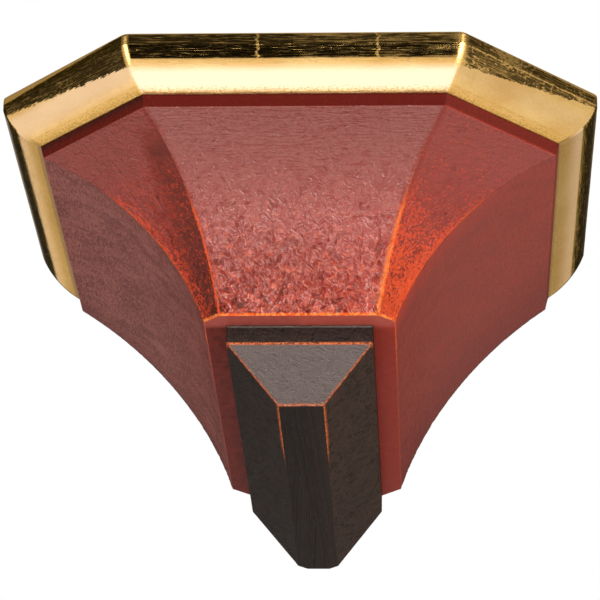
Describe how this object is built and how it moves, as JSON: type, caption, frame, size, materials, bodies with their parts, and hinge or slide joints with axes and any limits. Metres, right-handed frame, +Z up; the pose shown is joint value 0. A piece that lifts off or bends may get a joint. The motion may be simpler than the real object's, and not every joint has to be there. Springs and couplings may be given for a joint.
{
  "type": "corner bracket",
  "caption": "Bracket for the corner of a room: a half-octagonal gilt cornice shelf on a coved red body, with a dark hipped pendant block below.",
  "frame": {"origin": "on the line where the two walls of the room meet, at the level of the shelf's top; the part's own back corner is cut flat a few millimetres short of that line", "axes": "+Z up; +Y into the corner of the room, so each wall runs at 45 degrees to Y; +X to the right as seen from the room"},
  "size_m": [0.38, 0.4954, 0.1763],
  "materials": {
    "gilding": "metal leaf, burnished, on wood",
    "red_paint": "brushed and stippled red paint, semi-gloss, rubbed through to an orange undercoat along the edges",
    "black_paint": "brown-black paint, satin, rubbed through to an orange undercoat along the edges"
  },
  "bodies": {
    "root": {"cornice_shelf": "gilding", "cove_body": "red_paint", "pendant_block": "black_paint"}
  },
  "joints": []
}
